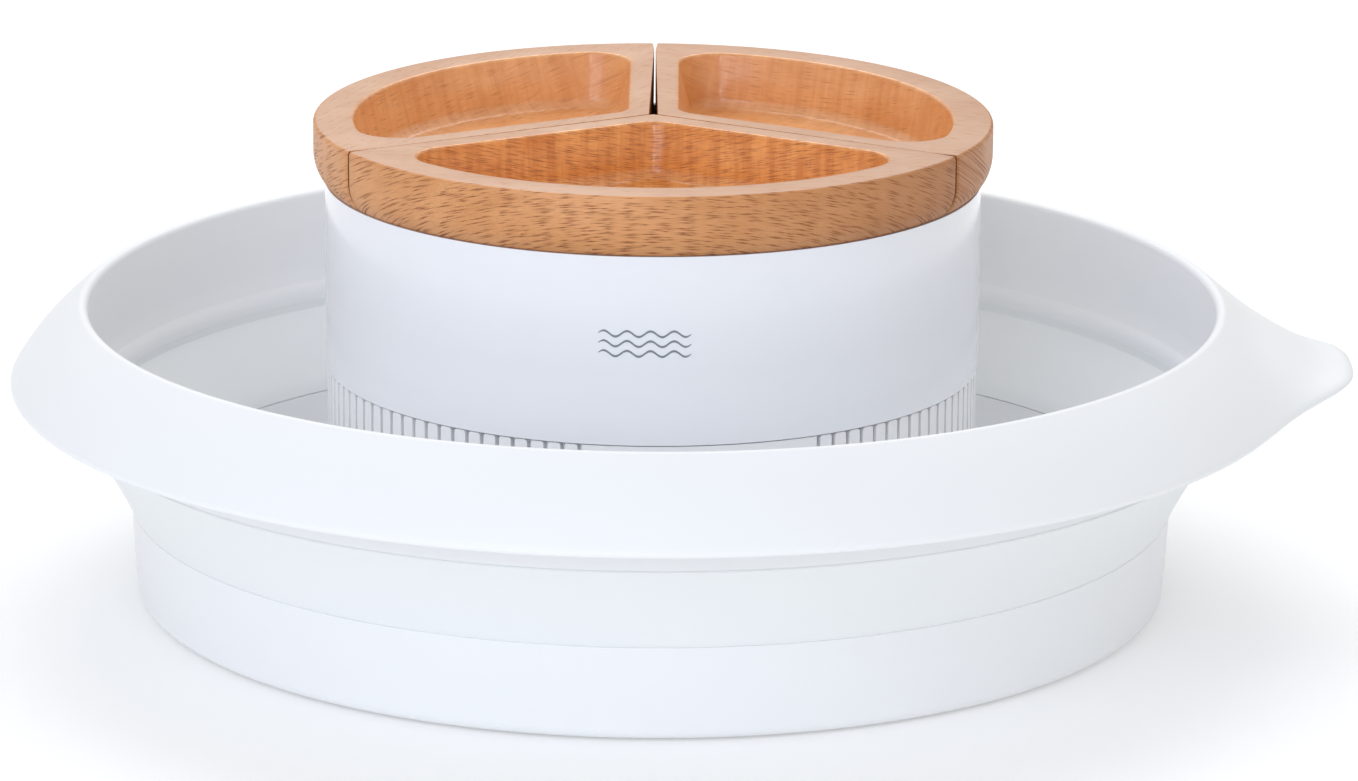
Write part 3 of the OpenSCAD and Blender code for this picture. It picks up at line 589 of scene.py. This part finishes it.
SIDE_TONE = [(0.73, 0.345, 0.142), (0.63, 0.27, 0.09), (0.27, 0.08, 0.016)]
TOP_TONE = [(0.665, 0.405, 0.262), (0.60, 0.33, 0.195), (0.40, 0.17, 0.075)]
# Painted shade: dark wood on the corners at the seams, in place of the shadow inside the closed seams.
SEAM_SHADE_TONE = [(0.16, 0.06, 0.022), (0.12, 0.042, 0.015), (0.06, 0.02, 0.008)]
FRONT_RECESS_TONE = [(0.92, 0.42, 0.12), (0.76, 0.29, 0.06), (0.30, 0.065, 0.01)]
REAR_RECESS_TONE = [(0.88, 0.46, 0.20), (0.76, 0.34, 0.12), (0.38, 0.12, 0.03)]

SIDE_LOOK = {"dashes": 1.0, "share": 0.60, "gloss": 0.42, "coat": 0.0, "bands": 0.0}
TOP_LOOK = {"dashes": 0.32, "share": 0.30, "gloss": 0.50, "coat": 0.0, "bands": 0.0}
FRONT_RECESS_LOOK = {"dashes": 0.72, "share": 0.80, "gloss": 0.28, "coat": 0.4, "bands": 0.6}
REAR_RECESS_LOOK = {"dashes": 0.50, "share": 0.20, "gloss": 0.28, "coat": 0.35, "bands": 0.35}


def woods(name, turn, place, recess_tone, recess_look, tone_and_shade_right=0.0):
    """The finishes of a tray's side, top, recess and the corners at its seams. Those corners carry
    painted shade, a darker wood, so that the closed seams read as fine dark lines."""
    side = beech(name + "_side", SIDE_TONE, SIDE_LOOK, turn, place, tone_and_shade_right)
    top = beech(name + "_top", TOP_TONE, TOP_LOOK, turn, place, tone_and_shade_right * 0.3)
    recess = beech(name + "_recess", recess_tone, recess_look, turn, place)
    seam_shade = beech(name + "_seam", SEAM_SHADE_TONE, TOP_LOOK, turn, place)
    return [side, top, recess, seam_shade]


def make_trays():
    third = 2 * math.pi / 3
    # The front and right trays darken towards +X: partly painted shade, partly the wood's own tone.
    front = woods("front_beech", 0.0, (0.0, 0.0, 0.0), FRONT_RECESS_TONE, FRONT_RECESS_LOOK, 0.6)
    right = woods("right_beech", 0.5, (0.3, 0.11, 0.2), REAR_RECESS_TONE, REAR_RECESS_LOOK, 0.45)
    left = woods("left_beech", -1.1, (0.7, 0.5, 0.4), REAR_RECESS_TONE, REAR_RECESS_LOOK)
    make_tray("front_beech_tray", "tray_front", 0, 0, front)
    make_tray("right_beech_tray", "tray_right", third, -1, right)
    make_tray("left_beech_tray", "tray_left", -third, 1, left)


# ---------------------------------------------------------------- strainer


def on_drum(bearing, r, z):
    """A point on the drum. Bearings start at the front (-Y) and turn towards +X."""
    return (r * math.sin(bearing), -r * math.cos(bearing), z)


def curved_bar(bm, b0, b1, r0, r1, z0, z1, corner):
    """An upright bar between two bearings and two radii, with rounded upper corners."""
    width = (b1 - b0) * r1
    half = [(0.0, z0), (0.0, z1 - corner)]
    half += [(corner + x, z1 - corner + z) for x, z in arc(0, 0, corner, 180, 90, 4)[1:]]
    half += [(width / 2, z1), (width / 2, z0)]
    other = [(width - s, z) for s, z in reversed(half)]
    walls = {}
    for side, r in (("out", r1), ("in", r0)):
        walls[side] = [[bm.verts.new(on_drum(b0 + s / r1, r, z)) for s, z in part] for part in (half, other)]
        for loop in walls[side]:
            bm.faces.new(loop)
    n = len(half)
    for outer, inner, middle in zip(walls["out"], walls["in"], (n - 2, 0)):
        for k in range(n):
            if k != middle:
                m = (k + 1) % n
                bm.faces.new((outer[k], inner[k], inner[m], outer[m]))


def make_strainer():
    """A drum with a slotted wall. Each bar between two slots has rounded upper corners."""
    wall_in = STRAINER_R - STRAINER_WALL
    floor_top = STRAINER_Z0 + 2
    band_in, band_z0, band_z1 = STRAINER_R - 5, SLOT_Z1 - 4.6, SHELL_Z0 + 0.3
    lathe("strainer_base", (
        [(0.02, STRAINER_Z0), (STRAINER_R - 0.6, STRAINER_Z0), (STRAINER_R, STRAINER_Z0 + 0.6)]
        + [(STRAINER_R, SLOT_Z0), (wall_in, SLOT_Z0), (wall_in, floor_top + 1.5), (wall_in - 1.5, floor_top)]
        + [(0.02, floor_top)]
    ), MATS["strainer"], "drum")
    lathe("strainer_band", (
        [(band_in, band_z0), (wall_in, band_z0 - 3), (wall_in, band_z1), (band_in, band_z1)]
    ), MATS["strainer"], "drum")
    bm = bmesh.new()
    first = OUTLET_BEARING + PLAIN_HALF + SLOT_PITCH / 2
    slots = int((2 * math.pi - 2 * PLAIN_HALF) / SLOT_PITCH + 0.001)
    half_slot = SLOT_W / 2 / STRAINER_R
    for i in range(slots - 1):
        b = first + i * SLOT_PITCH
        curved_bar(bm, b + half_slot, b + SLOT_PITCH - half_slot, wall_in, STRAINER_R,
                   SLOT_Z0, SLOT_Z1, BAR_CORNER)
    bars = finish_mesh("strainer_bars", bm, [MATS["strainer"]], "drum", sharp=30)
    make_plain_panel(first + (slots - 1) * SLOT_PITCH + half_slot, first + 2 * math.pi - half_slot, wall_in)
    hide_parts("strainer")


def make_plain_panel(b0, b1, wall_in):
    """The closed stretch of the strainer's wall, with the outlet's opening in it."""
    spout_low, spout_high = box_mm("outlet_duct")
    hole = [math.asin(x / STRAINER_R) + 2 * math.pi for x in (spout_low.x + 1.2, spout_high.x - 1.2)]
    hole_z = (spout_low.z + 2.6, spout_high.z - 2.6)
    columns = [b0 + (hole[0] - b0) * i / 20 for i in range(21)]
    columns += [hole[0] + (hole[1] - hole[0]) * i / 8 for i in range(1, 9)]
    columns += [hole[1] + (b1 - hole[1]) * i / 14 for i in range(1, 15)]
    rows = [SLOT_Z0, hole_z[0], hole_z[1], 45.0, SLOT_Z1]
    bm = bmesh.new()
    grid = {}
    for side, r in ((1, STRAINER_R), (0, wall_in)):
        for i, b in enumerate(columns):
            for k, z in enumerate(rows):
                grid[side, i, k] = bm.verts.new(on_drum(b, r, z))

    def kept(i, k):
        inside = 0 <= i < len(columns) - 1 and 0 <= k < len(rows) - 1
        return inside and not (20 <= i < 28 and k == 1)

    for i in range(len(columns) - 1):
        for k in range(len(rows) - 1):
            if not kept(i, k):
                continue
            corners = [(i, k), (i + 1, k), (i + 1, k + 1), (i, k + 1)]
            beside = [(i, k - 1), (i + 1, k), (i, k + 1), (i - 1, k)]
            bm.faces.new([grid[1, *c] for c in corners])
            bm.faces.new([grid[0, *c] for c in reversed(corners)])
            for n in range(4):
                if not kept(*beside[n]):
                    p, q = corners[n], corners[(n + 1) % 4]
                    bm.faces.new((grid[1, *p], grid[0, *p], grid[0, *q], grid[1, *q]))
    finish_mesh("strainer_panel", bm, [MATS["strainer"]], "drum", sharp=30)


# ---------------------------------------------------------------- mark on the shell


MARK_X = -1.5
MARK_Z = 92.6


def make_mark():
    """Three stacked waves, printed on the shell's front."""
    bm = bmesh.new()
    width, pitch, swing, thick = 24.0, 2.6, 0.75, 0.55
    waves, steps = 4, 96
    for row in range(3):
        z0 = MARK_Z - row * pitch
        loops = []
        for layer in (0.0, 0.04):
            edge = []
            for i in range(steps + 1):
                t = i / steps
                x = MARK_X + (t - 0.5) * width
                wave = swing * math.sin(2 * math.pi * waves * t)
                taper = min(1.0, 12 * t, 12 * (1 - t)) ** 0.5
                half = thick * taper / 2 + 0.01
                bearing = x / SHELL_R
                edge.append([bm.verts.new(on_drum(bearing, SHELL_R - 0.02 + layer * 2, z0 + wave + s * half))
                             for s in (-1, 1)])
            loops.append(edge)
        low, high = loops
        for i in range(steps):
            bm.faces.new((high[i][0], high[i + 1][0], high[i + 1][1], high[i][1]))
            bm.faces.new((low[i][1], low[i + 1][1], low[i + 1][0], low[i][0]))
            for s in (0, 1):
                bm.faces.new((low[i][s], low[i + 1][s], high[i + 1][s], high[i][s]))
        for i in (0, steps):
            bm.faces.new((low[i][0], low[i][1], high[i][1], high[i][0]))
    finish_mesh("wave_mark", bm, [MATS["print"]], "drum", sharp=30)


# ---------------------------------------------------------------- small parts of the drum

SMOOTHED = ("drum_shell", "battery_door", "outlet_spout", "top_cover", "bulkhead", "motor_can",
            "motor_end_cap", "pump_housing", "pump_cover", "outlet_duct", "switch_body",
            "battery_cradle", "motor_clamp", "foot_pads")
SHARP_ABOVE = math.radians(35)
HEAD_R = 2.9
HEAD_H = 1.8
DRIVE_R = 1.25
COVER_SCREW_BEARINGS = (0, 72, -72, 120, -120)
COVER_SCREW_R = 76
COVER_SCREW_Z = 105.6
COVER_SCREW_LENGTH = 14
STRAINER_SCREW_BEARINGS = (45, -45, 150, -150)
STRAINER_SCREW_R = 77.5
STRAINER_SCREW_Z = 51
STRAINER_SCREW_LENGTH = 19
CELL_NUB = 1.5
BUTTON_BEARING = math.radians(138)
BUTTON_R = 5.8
BUTTON_PROUD = 1.6
BUTTON_BACK = 77
BUTTON_TIP = 70


def smooth_cad_nodes():
    """Shades the larger CAD nodes smooth between their sharp edges, which stay sharp."""
    for node in SMOOTHED:
        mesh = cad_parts[node].data
        mesh.shade_smooth()
        mesh.set_sharp_from_angle(angle=SHARP_ABOVE)


def six_lobes(r, z, a):
    """Makes the drive's hole six-lobed."""
    if r > DRIVE_R + 0.01:
        return r, z
    return r * (1 - 0.14 * math.cos(6 * a)), z


def screw_head(bm, x, y, z, up):
    """A pan head with a six-lobe drive. up is 1 or -1, the way the head looks."""
    outline = [(0.02, 0), (HEAD_R, 0), (HEAD_R, HEAD_H * 0.45)]
    outline += [(HEAD_R - 0.25, HEAD_H * 0.7), (HEAD_R - 0.8, HEAD_H * 0.9), (HEAD_R - 1.5, HEAD_H)]
    outline += [(DRIVE_R, HEAD_H), (DRIVE_R - 0.1, HEAD_H - 0.9), (0.02, HEAD_H - 1.0)]
    turned(bm, [(r, h * up) for r, h in outline], 36, six_lobes, (x, y, z))


def make_screws(name, node, bearings, r, z, up, shank):
    bm = bmesh.new()
    for bearing in bearings:
        a = math.radians(bearing - 90)
        x, y = r * math.cos(a), r * math.sin(a)
        screw_head(bm, x, y, z, up)
        stem = [(0.02, 0), (0.02, -shank * up), (1.2, -shank * up), (1.4, -1 * up), (1.4, 0)]
        turned(bm, stem, 16, None, (x, y, z))
    screws = finish_mesh(name, bm, [MATS["steel"]], "drum", sharp=40)
    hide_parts(node)


def make_cell(name, node, toward):
    """A C cell along Y: a printed sleeve, steel ends and a cap. toward is 1 if the cap is at +Y."""
    low, high = box_mm(node)
    middle = (low + high) / 2
    radius, length = (high.x - low.x) / 2, high.y - low.y
    body = length - CELL_NUB
    steel = [(0.02, 0), (radius - 1.2, 0), (radius - 0.9, 0.3), (radius - 0.9, body - 0.3)]
    steel += [(radius - 1.3, body), (3.7, body - 0.5), (3.3, body), (3.1, length - 0.3)]
    steel += [(2.8, length), (0.02, length)]
    sleeve = [(radius - 1.0, 0.15), (radius - 0.3, 0), (radius, 0.4), (radius, body - 0.4)]
    sleeve += [(radius - 0.3, body), (radius - 1.0, body - 0.15)]
    start = Vector((middle.x, low.y if toward > 0 else high.y, middle.z))
    stand = Matrix.Translation(start) @ Matrix.Rotation(-toward * math.pi / 2, 4, "X")
    kinds = (("_steel", steel, "can", "screw_steel"), ("", sleeve, "cell", "cell_wrap"))
    for part, outline, finish, slot in kinds:
        bm = bmesh.new()
        turned(bm, outline, 72)
        bm.transform(stand)
        piece = finish_mesh(name + part, bm, [MATS[finish]], "drum")
    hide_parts(node)


def make_button():
    """The push button: a soft dished cap with a fine raised ring."""
    low, high = box_mm("power_button")
    reach = SHELL_R + BUTTON_PROUD
    tip, back = BUTTON_TIP - reach, BUTTON_BACK - reach
    outline = [(0.02, tip), (2.0, tip), (2.0, back), (BUTTON_R, back), (BUTTON_R, -0.9)]
    outline += arc(BUTTON_R - 0.9, -0.9, 0.9, 0, 90, 5)[1:]
    outline += [(4.3, 0), (3.9, -0.25), (2.6, -0.5), (2.3, -0.35), (2.0, -0.5), (0.02, -0.62)]
    out = Vector(on_drum(BUTTON_BEARING, 1, 0))
    bm = bmesh.new()
    turned(bm, outline, 64)
    stand = Matrix.Translation(out * reach + Vector((0, 0, (low.z + high.z) / 2)))
    bm.transform(stand @ out.to_track_quat("Z", "Y").to_matrix().to_4x4())
    button = finish_mesh("push_button", bm, [MATS["button"]], "button")
    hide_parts("power_button")


def make_small_parts():
    smooth_cad_nodes()
    make_screws("cover_screw_set", "cover_screws", COVER_SCREW_BEARINGS,
                COVER_SCREW_R, COVER_SCREW_Z, 1, COVER_SCREW_LENGTH)
    make_screws("strainer_screw_set", "strainer_screws", STRAINER_SCREW_BEARINGS,
                STRAINER_SCREW_R, STRAINER_SCREW_Z, -1, STRAINER_SCREW_LENGTH)
    make_cell("right_cell", "battery_right", 1)
    make_cell("left_cell", "battery_left", -1)
    make_button()


# ---------------------------------------------------------------- camera, light and floor


CAMERA_ELEVATION = math.radians(15.38)
CAMERA_DISTANCE = 1854.6
CAMERA_AIM = Vector((7.32, 0, 53.92))
CAMERA_ROLL = math.radians(0.419)
LENS = 183.7
SENSOR = 36


def make_camera():
    back = Vector((0, -math.cos(CAMERA_ELEVATION), math.sin(CAMERA_ELEVATION)))
    data = bpy.data.cameras.new("camera")
    data.lens = LENS
    data.sensor_width = SENSOR
    camera = bpy.data.objects.new("camera", data)
    SCENE.collection.objects.link(camera)
    camera.location = (CAMERA_AIM + back * CAMERA_DISTANCE) * MM
    look = back.to_track_quat("Z", "Y").to_matrix().to_4x4()
    roll = Matrix.Rotation(CAMERA_ROLL, 4, "Z")
    camera.matrix_world = Matrix.Translation(camera.location) @ look @ roll
    SCENE.camera = camera


def area_light(name, place, target, size, power, colour=(1, 1, 1)):
    data = bpy.data.lights.new(name, "AREA")
    data.shape = "RECTANGLE"
    data.size, data.size_y = size
    data.energy = power
    data.color = colour
    light = bpy.data.objects.new(name, data)
    SCENE.collection.objects.link(light)
    light.location = place
    light.rotation_euler = (Vector(place) - Vector(target)).to_track_quat("Z", "Y").to_euler()
    light.visible_camera = False


# Directions the light comes from, each with its strength
WORLD_LIGHT = [
    ((0, 0, 1), 0.62),
    ((0, -1, 0), 0.44),
    ((0, 1, 0), 0.40),
    ((-1, 0, 0), 0.34),
    ((1, 0, 0), 0.34),
]


def make_world():
    """Soft studio light from all round. Each direction has its own strength."""
    world = bpy.data.worlds.new("studio")
    world.use_nodes = True
    tree = world.node_tree
    direction = tree.nodes.new("ShaderNodeTexCoord").outputs["Generated"]
    total = None
    for axis, strength in WORLD_LIGHT:
        facing = tree.nodes.new("ShaderNodeVectorMath")
        facing.operation = "DOT_PRODUCT"
        tree.links.new(direction, facing.inputs[0])
        facing.inputs[1].default_value = [strength * v for v in axis]
        lit = tree.nodes.new("ShaderNodeMath")
        lit.operation = "MAXIMUM"
        tree.links.new(facing.outputs["Value"], lit.inputs[0])
        lit.inputs[1].default_value = 0.0
        if total:
            both = tree.nodes.new("ShaderNodeMath")
            tree.links.new(total, both.inputs[0])
            tree.links.new(lit.outputs[0], both.inputs[1])
            total = both.outputs[0]
        else:
            total = lit.outputs[0]
    background = tree.nodes["Background"]
    background.inputs["Color"].default_value = (1.0, 1.0, 1.0, 1)
    tree.links.new(total, background.inputs["Strength"])
    SCENE.world = world


def make_lights():
    make_world()
    area_light("softbox_left", (-0.8, -1.9, 1.1), (0, 0, 0.08), (1.4, 1.4), 13.2, (0.71, 0.80, 1.0))
    area_light("softbox_back", (0, 1.2, 1.5), (0, 0, 0.05), (1.6, 1.2), 14.0)
    area_light("strip_front", (-0.1, -1.75, 0.31), (0, 0, 0.12), (0.16, 0.36), 1.6)


def make_floor():
    bm = bmesh.new()
    bmesh.ops.create_grid(bm, x_segments=4, y_segments=4, size=6)
    mesh = bpy.data.meshes.new("floor")
    bm.to_mesh(mesh)
    bm.free()
    white = moulded("floor_white", (0.84, 0.84, 0.84), 0.8, grain=40, depth=0.01, drift=0.01)
    lit = white.node_tree.nodes["Principled BSDF"].inputs
    lit["Emission Color"].default_value = (1, 1, 1, 1)
    lit["Emission Strength"].default_value = 0.18
    mesh.materials.append(white)
    floor = bpy.data.objects.new("floor", mesh)
    SCENE.collection.objects.link(floor)


# ---------------------------------------------------------------- the whole scene

SCENE.view_settings.view_transform = "Standard"
finish_cad_nodes()
make_pan()
make_rim()
make_folding_wall()
make_trays()
make_strainer()
make_mark()
make_small_parts()
make_camera()
make_lights()
make_floor()
